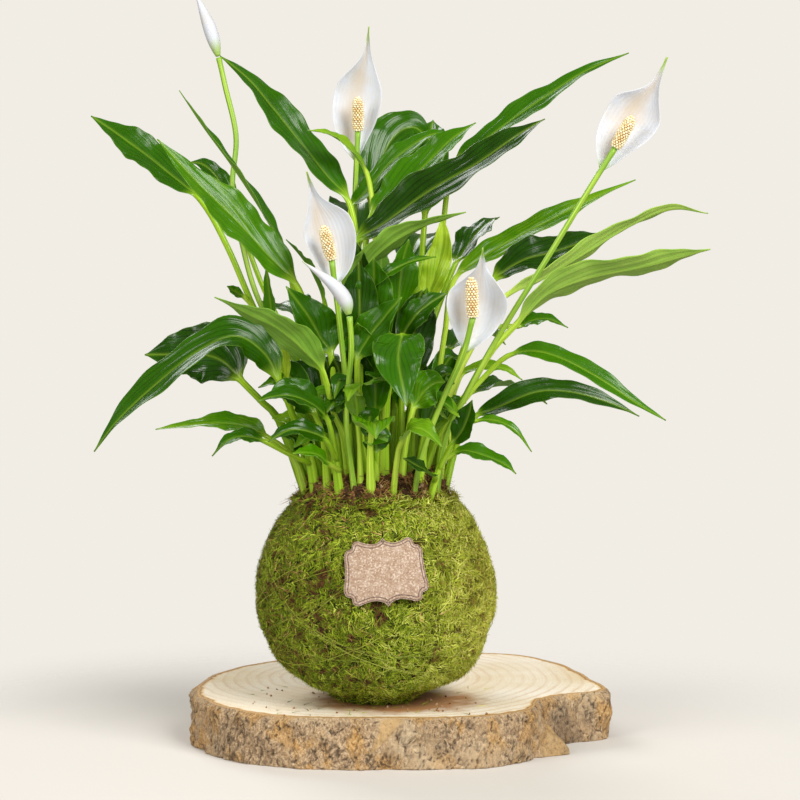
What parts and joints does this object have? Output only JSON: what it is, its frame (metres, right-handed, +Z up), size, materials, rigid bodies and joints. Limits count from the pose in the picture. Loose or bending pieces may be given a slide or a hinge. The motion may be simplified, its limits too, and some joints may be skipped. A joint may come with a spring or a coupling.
{
  "type": "moss ball plant",
  "caption": "Peace lily growing from a moss-covered soil ball that rests on a slice of tree trunk, with long arching leaves and white blooms.",
  "frame": {"origin": "underside of the wood slice, on the vertical line through the middle of the moss ball", "axes": "+Z up, +X to the right and -Y to the front, where the label is"},
  "size_m": [0.3863, 0.2665, 0.4712],
  "materials": {
    "wood": "sawn wood with rough bark",
    "moss": "fibrous living moss",
    "soil": "crumbly soil with root fibres",
    "thread": "fine twisted thread",
    "kraft_card": "matt kraft card",
    "leaf": "glossy waxy leaf",
    "stalk": "smooth green stalk",
    "spathe": "soft white petal",
    "spadix": "cream florets"
  },
  "bodies": {
    "root": {"wood_slice": "wood", "moss_wrap": "moss", "soil_core": "soil", "binding_thread": "thread", "label": "kraft_card", "leaf_left_high": "leaf", "leaf_left_glossy": "leaf", "leaf_left_slender": "leaf", "leaf_left_curled": "leaf", "leaf_tall": "leaf", "leaf_hooked": "leaf", "leaf_top_broad": "leaf", "leaf_top_curled": "leaf", "leaf_top_behind": "leaf", "leaf_right_upright": "leaf", "leaf_right_dark": "leaf", "leaf_right_high": "leaf", "leaf_centre_olive": "leaf", "leaf_centre_upright": "leaf", "leaf_centre_slim": "leaf", "leaf_centre_short": "leaf", "leaf_right_second": "leaf", "leaf_right_third": "leaf", "leaf_right_wavy": "leaf", "leaf_right_long": "leaf", "leaf_right_arching": "leaf", "leaf_right_level": "leaf", "leaf_right_low": "leaf", "leaf_front_right": "leaf", "leaf_front_olive": "leaf", "leaf_front_bright": "leaf", "leaf_front_glossy": "leaf", "leaf_front_drooping": "leaf", "leaf_front_long": "leaf", "leaf_left_broad": "leaf", "leaf_left_drooping": "leaf", "leaf_left_wide": "leaf", "leaf_left_young": "leaf", "leaf_left_facing": "leaf", "leaf_left_shoot": "leaf", "leaf_left_low": "leaf", "leaf_back_left": "leaf", "leaf_back_right": "leaf", "leaf_back_low": "leaf", "bloom_top_stalk": "stalk", "bloom_right_stalk": "stalk", "bloom_left_stalk": "stalk", "bloom_front_stalk": "stalk", "bloom_closed_stalk": "stalk", "bloom_bud_stalk": "stalk", "bloom_top_spathe": "spathe", "bloom_top_spadix": "spadix", "bloom_right_spathe": "spathe", "bloom_right_spadix": "spadix", "bloom_left_spathe": "spathe", "bloom_left_spadix": "spadix", "bloom_front_spathe": "spathe", "bloom_front_spadix": "spadix", "bloom_closed_spathe": "spathe", "bloom_bud_spathe": "spathe"}
  },
  "joints": []
}
